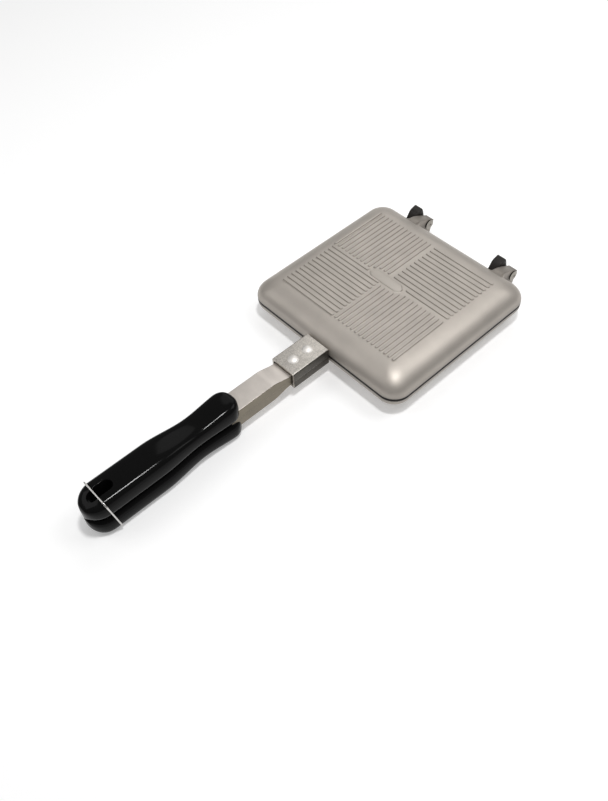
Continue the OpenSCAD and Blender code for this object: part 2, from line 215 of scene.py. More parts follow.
GROUPS = {
    "iron_shells": IRON_PG_shells,
    "iron_hinge": IRON_PG_hinge,
    "iron_steel": IRON_PG_steel,
    "iron_grips": IRON_PG_grips,
    "iron_latch": IRON_PG_latch,
    "iron_finish": IRON_PG_finish,
    "iron_stage": IRON_PG_stage,
}


# ---- materials ---------------------------------------------------------------

RIM_SHADE = 0.62        # the painted shade at the rim: the share of its colour that the casting keeps there
RIM_SHADE_Z = (1, 5.5)  # heights over the parting plane between which the painted shade fades
FLOOR_GLOW = 0.26       # light that the floor adds for camera and glossy rays
WHITE = (1, 1, 1, 1)
NOISE = (0.3, 0.7)      # nearly all values of a noise lie between these

# A noise pattern: the size of its lumps in millimetres, its detail and roughness, and how
# its coordinates are stretched along the piece's axes
Grain = namedtuple("Grain", "size detail rough stretch", defaults=(2.0, 0.5, (1, 1, 1)))


def shade(hex_value, factor):
    """An sRGB hex value as linear RGBA, made lighter or darker by a factor."""
    parts = [int(hex_value[i:i + 2], 16) / 255 for i in (1, 3, 5)]
    light = [p / 12.92 if p <= 0.04045 else ((p + 0.055) / 1.055) ** 2.4 for p in parts]
    return [min(1.0, c * factor) for c in light] + [1.0]


def add_node(tree, kind, settings=None, inputs=None):
    """Adds a node, sets its settings, and gives its inputs a value or a link."""
    made = tree.nodes.new(kind)
    for name, value in (settings or {}).items():
        setattr(made, name, value)
    for name, value in (inputs or {}).items():
        if isinstance(value, bpy.types.NodeSocket):
            tree.links.new(value, made.inputs[name])
        else:
            made.inputs[name].default_value = value
    return made


def new_finish(name, hex_value, shades, mottle, looks, roughness=None, relief=None):
    """A material whose colour, roughness and relief follow grains of a real size.

    shades are the factors of its darkest and lightest colour. mottle lists the grains that
    lead from one to the other, as (grain, share, lowest and highest value that count).
    looks are the shader's fixed inputs, roughness is (grain, least, most), and relief is
    (grain, depth in millimetres, strength)."""
    made = bpy.data.materials.new(name)
    made.use_nodes = True
    tree = made.node_tree
    tree.nodes.clear()
    place = add_node(tree, "ShaderNodeTexCoord").outputs["Object"]
    heights = {}

    def height(grain):
        """The grain's height from 0 to 1, from a noise that is added once."""
        if grain not in heights:
            in_mm = add_node(tree, "ShaderNodeVectorMath", {"operation": "MULTIPLY"},
                             {0: place, 1: [s / MM for s in grain.stretch]})
            noise = add_node(tree, "ShaderNodeTexNoise", None, {
                "Vector": in_mm.outputs[0], "Scale": 1 / grain.size,
                "Detail": grain.detail, "Roughness": grain.rough})
            heights[grain] = noise.outputs["Fac"]
        return heights[grain]

    light = 0.0
    for grain, share, lowest, highest in mottle:
        part = add_node(tree, "ShaderNodeMapRange", None, {
            "Value": height(grain), "From Min": lowest, "From Max": highest, "To Max": share})
        added = add_node(tree, "ShaderNodeMath", {"operation": "ADD"},
                         {0: light, 1: part.outputs["Result"]})
        light = added.outputs[0]
    colour_mix = add_node(tree, "ShaderNodeMix", {"data_type": "RGBA"}, {
        0: light, 6: shade(hex_value, shades[0]), 7: shade(hex_value, shades[1])})
    inputs = {"Base Color": colour_mix.outputs[2], **looks}
    if roughness:
        grain, least, most = roughness
        gloss = add_node(tree, "ShaderNodeMapRange", None, {
            "Value": height(grain), "From Min": NOISE[0], "From Max": NOISE[1],
            "To Min": least, "To Max": most})
        inputs["Roughness"] = gloss.outputs["Result"]
    if relief:
        grain, depth, strength = relief
        bump = add_node(tree, "ShaderNodeBump", None, {
            "Height": height(grain), "Distance": depth * MM, "Strength": strength})
        inputs["Normal"] = bump.outputs["Normal"]
    shader = add_node(tree, "ShaderNodeBsdfPrincipled", None, inputs)
    add_node(tree, "ShaderNodeOutputMaterial", None, {"Surface": shader.outputs["BSDF"]})
    return made


def cast_aluminium(hex_value, name="blasted_cast_aluminium"):
    """Die-cast aluminium, blasted: a soft metal skin with a fine even grain, a little
    cloudy, and darker towards the rim, as painted shade. A darker copy of the same skin
    paints the shade on the walls of the ribs and on the lugs."""
    fine, cloud = Grain(0.35, 3.0, 0.6), Grain(16.0)
    made = new_finish(name, hex_value, (0.9, 1.08),
                      [(fine, 0.45, *NOISE), (cloud, 0.55, *NOISE)], {"Metallic": 0.72},
                      roughness=(fine, 0.42, 0.54), relief=(fine, 0.02, 0.6))
    tree = made.node_tree
    base = tree.nodes["Principled BSDF"].inputs["Base Color"]
    # Painted shade: the colour is scaled down towards the parting plane
    place = add_node(tree, "ShaderNodeTexCoord")
    height = add_node(tree, "ShaderNodeSeparateXYZ", None, {0: place.outputs["Object"]})
    from_rim = add_node(tree, "ShaderNodeMath", {"operation": "SUBTRACT"},
                        {0: height.outputs["Z"], 1: PARTING_Z * MM})
    from_rim = add_node(tree, "ShaderNodeMath", {"operation": "ABSOLUTE"},
                        {0: from_rim.outputs[0]})
    rim_shade_factor = add_node(tree, "ShaderNodeMapRange", None, {
        "Value": from_rim.outputs[0], "From Min": RIM_SHADE_Z[0] * MM,
        "From Max": RIM_SHADE_Z[1] * MM, "To Min": RIM_SHADE})
    rim_shaded = add_node(tree, "ShaderNodeVectorMath", {"operation": "SCALE"},
                       {0: base.links[0].from_socket, "Scale": rim_shade_factor.outputs["Result"]})
    tree.links.new(rim_shaded.outputs[0], base)
    return made


def nonstick_coat(hex_value):
    """Sprayed fluoropolymer coat on the casting: near black, satin, faintly speckled."""
    speck = Grain(0.5, 3.0, 0.7)
    return new_finish("sprayed_nonstick_coat", hex_value, (1, 2.2), [(speck, 1, 0.45, 0.75)],
                      {"IOR": 1.38}, roughness=(speck, 0.34, 0.46), relief=(speck, 0.015, 0.5))


def plated_sheet(hex_value, name="zinc_plated_sheet"):
    """Zinc-plated steel sheet: satin, with the fine frosty speckle of the plating."""
    speck, cloud = Grain(0.9, 4.0, 0.8), Grain(6.0)
    return new_finish(name, hex_value, (0.66, 1.28),
                      [(speck, 0.65, 0.4, 0.6), (cloud, 0.35, *NOISE)], {"Metallic": 1.0},
                      roughness=(speck, 0.42, 0.58), relief=(speck, 0.02, 0.5))


def polished_sheet(hex_value, name="polished_steel_sheet", rough=0.38):
    """Rolled and polished steel sheet: bright, with fine lines along the piece."""
    lines, cloud = Grain(0.25, stretch=(1, 0.02, 1)), Grain(9.0)
    return new_finish(name, hex_value, (0.93, 1.05), [(cloud, 1, *NOISE)], {"Metallic": 1.0},
                      roughness=(lines, rough - 0.04, rough + 0.06),
                      relief=(lines, 0.003, 0.25))


def bright_steel(hex_value, name="tumbled_bright_steel"):
    """Cold-headed steel, tumbled bright: smooth, with the faintest dents."""
    dents = Grain(1.1)
    return new_finish(name, hex_value, (0.92, 1), [(dents, 1, *NOISE)], {"Metallic": 0.8},
                      roughness=(dents, 0.48, 0.58), relief=(dents, 0.003, 0.2))


def moulded_phenolic(hex_value):
    """Compression-moulded phenolic: deep black and glossy, with a slight wave in the
    skin that bends the highlights and a trace of dust-fine mottling."""
    wave, dust = Grain(5.0, 1.0), Grain(0.6, 3.0, 0.6)
    return new_finish("moulded_black_phenolic", hex_value, (1, 1.5), [(dust, 1, *NOISE)],
                      {"IOR": 1.5, "Specular IOR Level": 0.08},
                      roughness=(dust, 0.09, 0.12), relief=(wave, 0.03, 0.12))


def drawn_wire(hex_value):
    """Bright drawn and nickel-plated wire, with faint die lines."""
    lines = Grain(0.2, stretch=(1, 1, 0.05))
    return new_finish("nickel_plated_wire", hex_value, (0.9, 1), [(lines, 1, *NOISE)],
                      {"Metallic": 1.0}, roughness=(lines, 0.14, 0.24),
                      relief=(lines, 0.005, 0.3))


def floor_paper(hex_value):
    """White background paper: matt, with a barely visible tooth. To the camera it glows a
    little, so that it reads as white and keeps the object's shadow."""
    made = new_finish("matt_background_paper", hex_value, (0.985, 1),
                      [(Grain(1.5), 1, *NOISE)],
                      {"Roughness": 0.9, "Specular IOR Level": 0.1})
    tree = made.node_tree
    output = tree.nodes["Material Output"].inputs["Surface"]
    ray = add_node(tree, "ShaderNodeLightPath")
    seen = add_node(tree, "ShaderNodeMath", {"operation": "MAXIMUM"},
                    {0: ray.outputs["Is Camera Ray"], 1: ray.outputs["Is Glossy Ray"]})
    lift = add_node(tree, "ShaderNodeMath", {"operation": "MULTIPLY"},
                    {0: seen.outputs[0], 1: FLOOR_GLOW})
    glow = add_node(tree, "ShaderNodeEmission", None,
                    {"Color": WHITE, "Strength": lift.outputs[0]})
    both = add_node(tree, "ShaderNodeAddShader", None,
                    {0: output.links[0].from_socket, 1: glow.outputs[0]})
    tree.links.new(both.outputs[0], output)
    return made


# ---- mesh helpers ------------------------------------------------------------

SMOOTH = 40             # edges sharper than this angle in degrees stay sharp
BEVEL = 35              # edges sharper than this angle in degrees are rounded


def half_matrix(half):
    """From the drawing of one half, above the parting plane, to its place in the frame."""
    turn = Matrix.Rotation(math.pi, 4, "Y") if half == "lower" else Matrix.Identity(4)
    return Matrix.Translation((0, 0, PARTING_Z)) @ turn


def add_loft(mesh, rings, foot=True, inward=False):
    """Adds a skin through rings of equally many points. It faces outwards where the
    rings run anticlockwise, seen from the last ring. foot closes the first ring."""
    made = [[mesh.verts.new(p) for p in ring] for ring in rings]
    count = len(made[0])
    for low, high in zip(made, made[1:]):
        for k in range(count):
            n = (k + 1) % count
            face = (low[k], low[n], high[n], high[k])
            mesh.faces.new(face[::-1] if inward else face)
    if foot:
        mesh.faces.new(made[0] if inward else made[0][::-1])
    mesh.faces.new(made[-1][::-1] if inward else made[-1])


def add_box(mesh, low, high):
    """A plain block between two corners."""
    add_loft(mesh, [[(low[0], low[1], z), (high[0], low[1], z),
                     (high[0], high[1], z), (low[0], high[1], z)] for z in (low[2], high[2])])


def smooth_faces(data, limit):
    """Gives a mesh smooth shading, but for its edges sharper than limit degrees."""
    for polygon in data.polygons:
        polygon.use_smooth = True
    data.set_sharp_from_angle(angle=math.radians(limit))


def new_piece(name, mesh, matrix, materials, smooth=SMOOTH, pick=None):
    """Makes an object of a bmesh drawn in millimetres. pick(face centre, normal) gives a
    face's material number, on the drawing."""
    mesh.normal_update()
    if pick:
        for face in mesh.faces:
            face.material_index = pick(face.calc_center_median(), face.normal)
    mesh.transform(Matrix.Scale(MM, 4) @ matrix)
    data = bpy.data.meshes.new(name)
    mesh.to_mesh(data)
    mesh.free()
    for material in materials:
        data.materials.append(material)
    smooth_faces(data, smooth)
    piece = bpy.data.objects.new(name, data)
    bpy.context.scene.collection.objects.link(piece)
    return piece


def apply_modifiers(piece, smooth):
    """Replaces a piece's mesh by what its modifiers make of it."""
    graph = bpy.context.evaluated_depsgraph_get()
    graph.update()
    data = bpy.data.meshes.new_from_object(piece.evaluated_get(graph))
    piece.modifiers.clear()
    piece.data = data
    smooth_faces(data, smooth)


def bevel_edges(piece, width, segments):
    """Rounds a piece's sharp edges, as real edges are."""
    bevel = piece.modifiers.new("edges", "BEVEL")
    bevel.width = width * MM
    bevel.segments = segments
    bevel.limit_method = "ANGLE"
    bevel.angle_limit = math.radians(BEVEL)
    bevel.use_clamp_overlap = True
    apply_modifiers(piece, SMOOTH)


def cut(piece, cutters, smooth):
    """Cuts the cutters out of a piece, and removes them."""
    for cutter in cutters:
        boolean = piece.modifiers.new("cut", "BOOLEAN")
        boolean.operation = "DIFFERENCE"
        boolean.solver = "EXACT"
        boolean.object = cutter
    apply_modifiers(piece, smooth)
    for cutter in cutters:
        bpy.data.objects.remove(cutter)


def dress(piece, body, node):
    """The piece moves with a body and stands for a solid."""
    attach(piece, body)
    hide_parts(node)


def arc_points(radius, start, end, steps):
    """Points (a, b) on an arc about the origin, angles in degrees."""
    angles = [math.radians(start + (end - start) * i / steps) for i in range(steps + 1)]
    return [(radius * math.cos(a), radius * math.sin(a)) for a in angles]


def smooth_step(t):
    """0 up to t = 0 and 1 from t = 1, with a soft start and end between them."""
    t = min(1.0, max(0.0, t))
    return t * t * (3 - 2 * t)


# ---- shells ------------------------------------------------------------------

CORNER_STEPS = 12
SHOULDER_STEPS = 20
RIM_STEPS = 3
RIM_EDGE = 0.5          # radius of the rim's two edges
RIB_FOOT = 0.45         # width of the fillet at a rib's foot
FIELD_FOOT = 0.95       # width of the fillet at the field's foot
FIELD_X = -2            # middle of the field, which lies a little off centre
FIELD_TIP = 3.3         # length of the field's pointed ends
LUG_STEPS = 40
LUG_END_STEPS = 4
LUG_ROOT = 7            # how far a lug starts inside the shoulder's edge
LUG_EDGE = 0.7          # radius of a lug's edges
LUG_TOP = 10.9          # greatest height of a lug's own side, at the shoulder
LUG_SLOPE = 0.57        # how steeply that side falls to the lug's end
FLARE_END = 2.2         # how far past the shell's edge a lug's root is wider
FLARE_L = 5             # length over which it widens
FLARE = 1.1             # and by how much, to each side
TONGUE_EDGE = 0.4       # radius of the tongue's edges
TONGUE_FIT = 0.2        # gap between the tongue and the bracket's flanges

# Lines under which a lug's far side stays: height over the parting plane, slope, and
# place along Y from the pin. They are a steep rise, a nearly level top and a steep end.
HORN_LINES = ((3.2, 1.6, -7.1), (7.9, 0.25, -3), (8.8, -4.5, 1.6))

# The finishes of a shell's faces; the third is a darker metal for painted shade
METAL, COAT, PAINTED_SHADE = range(3)


def round_ring(size, inset, radius, z):
    """The shell's outline at the height z, moved inwards: a rectangle with round corners."""
    half_x = size.width / 2 - inset - radius
    half_y = size.depth / 2 - inset - radius
    ring = []
    for sx, sy, start in ((1, -1, -90), (1, 1, 0), (-1, 1, 90), (-1, -1, 180)):
        for a, b in arc_points(radius, start, start + 90, CORNER_STEPS):
            ring.append((sx * half_x + a, sy * half_y + b, z))
    return ring


def shoulder_rings(size, inset, wide, foot_z, top_z):
    """Rings of an elliptical shoulder of the width wide, from its foot up to the flat.
    The corners tighten on the way up."""
    rings = []
    radius = size.corner - inset
    for i in range(SHOULDER_STEPS + 1):
        a = math.pi / 2 * i / SHOULDER_STEPS
        step = wide * (1 - math.cos(a))
        rings.append(round_ring(size, inset + step,
                                radius + (size.flat_corner - radius) * step / wide,
                                foot_z + (top_z - foot_z) * math.sin(a)))
    return rings


def shoulder_z(foot_z, top_z, share):
    """Height of an elliptical shoulder at a share of its width."""
    share = min(1.0, max(0.0, share))
    return foot_z + (top_z - foot_z) * math.sqrt(1 - (1 - share) ** 2)


def outer_z(size, flat_z, inset):
    """Height of the shell's outer side at a distance from the rim's edge."""
    return shoulder_z(size.rim_z + size.lip, flat_z, inset / size.shoulder)


def cavity_z(size, flat_z, inset):
    """Height of the cavity's skin at a distance from the rim's edge."""
    if inset <= size.rim:
        return size.rim_z
    return shoulder_z(size.rim_z + size.lip, flat_z - size.wall,
                      (inset - size.rim) / (size.shoulder - size.rim))


def add_dished_shell(mesh, size, flat_z):
    """The shell as one closed skin: cavity, rim with rounded edges, lip and shoulders."""
    foot_z = size.rim_z + size.lip
    inner = shoulder_rings(size, size.rim, size.shoulder - size.rim, foot_z, flat_z - size.wall)
    outer = shoulder_rings(size, 0, size.shoulder, foot_z, flat_z)
    turns = [math.pi / 2 * i / RIM_STEPS for i in range(RIM_STEPS + 1)]
    rim = [(size.rim - RIM_EDGE * (1 - math.cos(a)), RIM_EDGE * (1 - math.sin(a))) for a in turns]
    rim += [(RIM_EDGE * (1 - math.sin(a)), RIM_EDGE * (1 - math.cos(a))) for a in turns]
    rim += [(0, size.seam_shade_lap)]
    edge = [round_ring(size, inset, size.corner - inset, size.rim_z + up) for inset, up in rim]
    add_loft(mesh, inner[::-1] + edge + outer)


def spread(start, end, pitch):
    """Even steps from start to end, as near to the pitch as a whole number allows."""
    count = round(abs(end - start) / pitch)
    return [start + (end - start) * i / count for i in range(count + 1)]


def rib_levels(size, flat_z, foot):
    """The wall of a rib from its foot to its top, as (inset, height)."""
    top = flat_z + size.rib_t
    return ((-foot, flat_z - 0.6), (0.03 - foot, flat_z + 0.01), (-0.15, flat_z + 0.1),
            (0.05, flat_z + 0.28), (0.22, top - 0.18), (0.27, top - 0.05), (0.42, top))


def add_rib(mesh, size, flat_z, x0, y0, x1, y1):
    """One raised rib with round ends, a fillet at its foot, drafted walls and a rounded
    top edge."""
    radius = min(x1 - x0, y1 - y0) / 2
    turn = -90 if x1 - x0 > y1 - y0 else 0
    ends = ((x1 - radius, y1 - radius, turn), (x0 + radius, y0 + radius, turn + 180))
    rings = []
    for inset, z in rib_levels(size, flat_z, RIB_FOOT):
        rings.append([(cx + a, cy + b, z) for cx, cy, start in ends
                      for a, b in arc_points(radius - inset, start, start + 180, 8)])
    add_loft(mesh, rings, foot=False)


def add_field(mesh, size, flat_z):
    """The plain field in the middle, raised as far as the ribs: six-sided, with its two
    tips cut off."""
    tip, side = size.field_l / 2, size.field_w / 2
    bend = tip - FIELD_TIP
    outline = ((tip, -1), (tip, 1), (bend, side), (-bend, side),
               (-tip, 1), (-tip, -1), (-bend, -side), (bend, -side))
    rings = []
    for inset, z in rib_levels(size, flat_z, FIELD_FOOT):
        rings.append([(FIELD_X + x * (1 - inset / tip), y * (1 - inset / side), z)
                      for x, y in outline])
    add_loft(mesh, rings, foot=False)


def add_rib_pattern(mesh, size, flat_z):
    """Four quarters of straight ribs, each turned a quarter from the next. The small
    offsets are those of the real pattern, whose quarters aren't quite alike."""
    half_x = size.width / 2 - size.rib_in
    half_y = size.depth / 2 - size.rib_in
    half_field = size.field_w / 2
    w = size.rib_w

    def field_edge(x):
        """Where a rib along Y ends at the field, which narrows to both sides."""
        return min(half_field + 2, max(1.6, half_field + 7.8 - 0.55 * abs(x - FIELD_X)))

    for x in spread(-4.6, -half_x - 1.3, size.rib_px):
        add_rib(mesh, size, flat_z, x - w, field_edge(x - 1), x, half_y + 0.4)
    for x in spread(-0.8, half_x - 0.3, size.rib_px):
        add_rib(mesh, size, flat_z, x - w, -half_y - 0.4, x, -field_edge(x - 1))
    for y in spread(1.8, half_y - w + 0.2, size.rib_py):
        start = size.field_l / 2 if y < half_field else -0.8
        add_rib(mesh, size, flat_z, start, y, half_x, y + w)
    for y in spread(-1.8, -half_y - 0.4, size.rib_py):
        end = FIELD_X - size.field_l / 2 - 1.6 if y > -half_field else -4.2
        add_rib(mesh, size, flat_z, -half_x - 2.2, y, end, y + w)
    add_field(mesh, size, flat_z)


def upright_section(x0, x1, low, high, radius, y):
    """An upright rounded rectangle at the place y, anticlockwise seen along +Y."""
    # A little under half of each side, so that no two points of the corners meet
    radius = min(radius, (x1 - x0) / 2.01, (high - low) / 2.01)
    ring = []
    for cx, cz, start in ((x1 - radius, low + radius, -90), (x1 - radius, high - radius, 0),
                          (x0 + radius, high - radius, 90), (x0 + radius, low + radius, 180)):
        ring += [(cx + a, y, cz + b) for a, b in arc_points(radius, start, start + 90, 4)]
    return ring


def soft_min(values, blend=0.7):
    """The least of some values, with the change from one to the next rounded."""
    return -blend * math.log(sum(math.exp(-v / blend) for v in values))


def horn(y):
    """How far a lug's far side reaches over the parting plane at the place y."""
    return soft_min([top + slope * (y - PIN_Y - place) for top, slope, place in HORN_LINES])


def lug_rings(size, hinge, flat_z, x0):
    """Sections of a hinge lug, from inside the shoulder's wall to its end. It flares into
    the shoulder, slopes down on its own shell's side, and wraps round the pin on the other."""
    x1 = x0 + hinge.lug_w
    root_y = size.depth / 2
    end_y = PLATE_HIGH.y - LUG_EDGE
    rings = []
    for i in range(LUG_STEPS + 1):
        y = root_y - LUG_ROOT + (end_y - root_y + LUG_ROOT) * i / LUG_STEPS
        out = max(0.0, (root_y + FLARE_END - y) / FLARE_L)
        flare = FLARE * out * out
        high = soft_min((LUG_TOP, 7.5 - LUG_SLOPE * (y - root_y - 5.4)), 2)
        low = size.rim_z + 0.1
        if y > root_y + 1.2:
            low = min(low, -horn(y))
        elif y < root_y - 2:
            low = max(low, cavity_z(size, flat_z, root_y - y + 0.6) + 0.3)
        rings.append(upright_section(x0 - flare, x1 + flare, low, high,
                                     LUG_EDGE + 2 * flare, y))
    for i in range(1, LUG_END_STEPS + 1):
        a = math.pi / 2 * i / LUG_END_STEPS
        inset = LUG_EDGE * (1 - math.cos(a))
        rings.append(upright_section(
            x0 + inset, x1 - inset, low + inset, high - 0.3 * i / LUG_END_STEPS - inset,
            LUG_EDGE, end_y + LUG_EDGE * math.sin(a)))
    return [ring[::-1] for ring in rings]


def add_tongue(mesh, size, steel):
    """The cast tongue under the bracket, with slightly rounded edges."""
    x0 = BRACKET_LOW.x + steel.sheet + TONGUE_FIT
    x1 = BRACKET_HIGH.x - steel.sheet - TONGUE_FIT
    z0 = size.rim_z + 0.15
    end_y = BRACKET_LOW.y + 4
    rings = []
    for y, inset in ((size.rim / 2 - size.depth / 2, 0), (end_y + TONGUE_EDGE, 0),
                     (end_y, TONGUE_EDGE)):
        rings.append(upright_section(x0 + inset, x1 - inset, z0 + inset,
                                     z0 + steel.tongue_t - inset, TONGUE_EDGE, y))
    add_loft(mesh, rings)


def shell_finish(size, flat_z):
    """Gives a function that says which finish a face of a shell has: the coat inside, on
    the lugs' running faces and, as painted shade, up the outside of the lip; painted shade
    on the lugs and on the walls of the ribs and the field."""
    lug_y = size.depth / 2 + 0.4
    seam_shade_z = size.rim_z + size.seam_shade_lap

    def pick(centre, normal):
        """The finish of one face."""
        if centre.y > lug_y:
            # Past the shell's edge the lug has the coat on its running faces, painted shade
            # elsewhere
            return COAT if normal.z < -0.3 or normal.x < -0.7 else PAINTED_SHADE
        outside = outer_z(size, flat_z, size.depth / 2 - centre.y)
        # The lug's root above the shoulder takes the painted shade
        if centre.y > lug_y - 6 and centre.z > outside + 0.06:
            return PAINTED_SHADE
        if centre.z > flat_z:
            on_field = abs(centre.y) < size.field_w / 2 + 1.2 and -18 < centre.x < 14.2
            if on_field:
                # The field's far walls and its right tip take the painted shade
                shaded_far_side = centre.y > 0.4 and normal.z < 0.985
                shaded_right_tip = centre.x > 11 and normal.z < 0.8
                return PAINTED_SHADE if shaded_far_side or shaded_right_tip else METAL
            # The ribs' walls take the painted shade
            return PAINTED_SHADE if normal.z < 0.8 else METAL
        # The coat inside, and up the outside of the lip as painted shade along the seam
        return COAT if normal.z < -0.25 or centre.z < seam_shade_z else METAL

    return pick


class IRON_OT_shells(bpy.types.Operator):
    """Builds both cast shells with their ribs, lugs, tongues and non-stick coat"""
    bl_idname = "iron.shells"
    bl_label = "Shells"

    def execute(self, context):
        scene = context.scene
        size, hinge, steel = scene.iron_shells, scene.iron_hinge, scene.iron_steel
        flat_z = FACE_Z - size.rib_t
        metal = cast_aluminium(scene.iron_finish.casting)
        # A darker copy of the casting, for painted shade
        painted_shade = cast_aluminium(scene.iron_finish.corners, "painted_shade_cast_aluminium")
        coat = nonstick_coat(scene.iron_finish.coat)
        for half in HALVES:
            mesh = bmesh.new()
            add_dished_shell(mesh, size, flat_z)
            add_rib_pattern(mesh, size, flat_z)
            for middle in (-hinge.middle_x, hinge.middle_x):
                add_loft(mesh, lug_rings(size, hinge, flat_z, middle + hinge.lug_gap / 2))
            add_tongue(mesh, size, steel)
            plate = new_piece(half + "_shell", mesh, half_matrix(half), (metal, coat, painted_shade),
                              50, shell_finish(size, flat_z))
            dress(plate, half + "_half", half + "_plate")
        return {"FINISHED"}


# ---- brackets, shanks, rivets and pins ---------------------------------------

FLANGE_GAP = 0.04       # between a flange's edge and the parting plane
BRACKET_EDGE = 0.08     # radius of the brackets' edges
FIT = 0.05              # gap between pieces that fit into one another
STEP_L = 16             # length of the shank's step outwards
STEP_STEPS = 16
TANG_IN = 8             # how far the shank's flanges reach into the grip
RIVET_SHAFT_R = 2.0     # radius of a rivet below its head
DIMPLE_R = 1.1          # radius of the dimple in a pin's head
PIN_WALL = 0.8          # height of the upright wall under a pin's dome
TURN_STEPS = 48
DOME_STEPS = 10


def channel_outline(width, high, sheet, fold):
    """A folded channel's outline, open at the bottom, anticlockwise seen along +Y."""
    half, inside = width / 2, high - sheet
    inner = max(0.3, fold - sheet + 0.7)
    points = [(half - sheet, FLANGE_GAP), (half, FLANGE_GAP)]
    points += [(half - fold + a, high - fold + b) for a, b in arc_points(fold, 0, 90, 6)]
    points += [(fold - half + a, high - fold + b) for a, b in arc_points(fold, 90, 180, 6)]
    points += [(-half, FLANGE_GAP), (sheet - half, FLANGE_GAP)]
    points += [(sheet - half + inner - a, inside - inner + b)
               for a, b in arc_points(inner, 0, 90, 4)]
    points += [(half - sheet - inner + a, inside - inner + b)
               for a, b in arc_points(inner, 90, 0, 4)]
    return points


def add_channel(mesh, stations, width, sheet, fold):
    """A folded channel through stations (y, outer height), from the front to the rear."""
    add_loft(mesh, [[(x, y, z) for x, z in channel_outline(width, high, sheet, fold)]
                    for y, high in stations])


def on_shaded_side(centre, normal):
    """1 for the faces of a folded sheet that stand upright, beside its flat top, which take the
    painted shade.
    """
    return int(abs(normal.x) > 0.4)


def on_shaded_wall(centre, normal):
    """1 for the faces of a turned piece that look away from its axis, which take the painted shade.
    """
    return int(abs(normal.z) < 0.3)


class IRON_OT_brackets(bpy.types.Operator):
    """Builds the two folded steel brackets"""
    bl_idname = "iron.brackets"
    bl_label = "Brackets"

    def execute(self, context):
        steel, finish = context.scene.iron_steel, context.scene.iron_finish
        sheet = plated_sheet(finish.bracket)
        # The flanges take a darker copy of the plating: a painted shade
        side_shade = plated_sheet(finish.bracket_flank_shade, "shaded_zinc_plated_sheet")
        stations = [(y, steel.bracket_h) for y in (BRACKET_HIGH.y, BRACKET_LOW.y)]
        for half in HALVES:
            mesh = bmesh.new()
            add_channel(mesh, stations, steel.bracket_w, steel.sheet, steel.fold)
            piece = new_piece(half + "_bracket_sheet", mesh, half_matrix(half),
                              (sheet, side_shade), pick=on_shaded_side)
            bevel_edges(piece, BRACKET_EDGE, 2)
            dress(piece, half + "_half", half + "_bracket")
        return {"FINISHED"}


class IRON_OT_shanks(bpy.types.Operator):
    """Builds the two shanks: a folded channel that steps out and ends in a tang"""
    bl_idname = "iron.shanks"
    bl_label = "Shanks"

    def execute(self, context):
        steel, finish = context.scene.iron_steel, context.scene.iron_finish
        sheet = polished_sheet(finish.shank)
        # The flanges take a darker copy of the polished sheet: a painted shade
        side_shade = polished_sheet(finish.shank_flank_shade, "shaded_steel_sheet", 0.46)
        width = SHANK_HIGH.x - SHANK_LOW.x
        high = SHANK_HIGH.z - PARTING_Z
        under_bracket = BRACKET_HIGH.z - PARTING_Z - steel.sheet - FIT
        bend = BRACKET_LOW.y - 0.5
        flange_end = GRIP_HIGH.y - TANG_IN
        tang = steel.tang_w / 2
        stations = [(SHANK_HIGH.y, under_bracket)]
        for i in range(STEP_STEPS + 1):
            t = i / STEP_STEPS
            stations.append((bend - STEP_L * t,
                             under_bracket + (high - under_bracket) * smooth_step(t)))
        stations.append((flange_end, high))
        for half in HALVES:
            mesh = bmesh.new()
            add_channel(mesh, stations, width, steel.sheet, steel.fold / 2)
            add_loft(mesh, [[(x, y, z) for x, z in (
                (tang, high - steel.sheet), (tang, high - 0.02),
                (-tang, high - 0.02), (-tang, high - steel.sheet))]
                for y in (flange_end + 2, SHANK_LOW.y)])
            piece = new_piece(half + "_shank_sheet", mesh, half_matrix(half),
                              (sheet, side_shade), 25, on_shaded_side)
            dress(piece, half + "_half", half + "_shank")
        return {"FINISHED"}


def add_turned(mesh, profile):
    """A turned body about the Z axis, through (radius, z) points from the top down."""
    turns = [2 * math.pi * k / TURN_STEPS for k in range(TURN_STEPS)]
    rings = [[(radius * math.cos(a), radius * math.sin(a), z) for a in turns]
             for radius, z in profile]
    add_loft(mesh, rings[::-1])


def dome_profile(radius, height):
    """Points of a low dome, from its crown to its edge."""
    ball = (radius * radius + height * height) / (2 * height)
    reach = math.asin(min(1.0, radius / ball))
    return [(max(0.02, ball * math.sin(reach * i / DOME_STEPS)),
             height - ball + ball * math.cos(reach * i / DOME_STEPS))
            for i in range(DOME_STEPS + 1)]


class IRON_OT_rivets(bpy.types.Operator):
    """Builds the four domed rivets through the brackets"""
    bl_idname = "iron.rivets"
    bl_label = "Rivets"

    def execute(self, context):
        steel = context.scene.iron_steel
        bright = bright_steel(context.scene.iron_finish.rivet)
        seat = steel.bracket_h
        profile = [(r, seat + z) for r, z in dome_profile(steel.rivet_r, steel.rivet_t)]
        profile += [(steel.rivet_r - 0.12, seat - 0.02), (RIVET_SHAFT_R, seat - 0.04),
                    (RIVET_SHAFT_R, 0.35)]
        first = -context.scene.iron_shells.depth / 2 - steel.rivet_in
        places = {"front": first, "rear": first - steel.rivet_pitch}
        for half in HALVES:
            for name, y in places.items():
                mesh = bmesh.new()
                add_turned(mesh, profile)
                piece = new_piece("%s_%s_rivet_head" % (half, name), mesh,
                                  half_matrix(half) @ Matrix.Translation((0, y, 0)),
                                  (bright,), 60)
                dress(piece, half + "_half", "%s_%s_rivet" % (half, name))
        return {"FINISHED"}


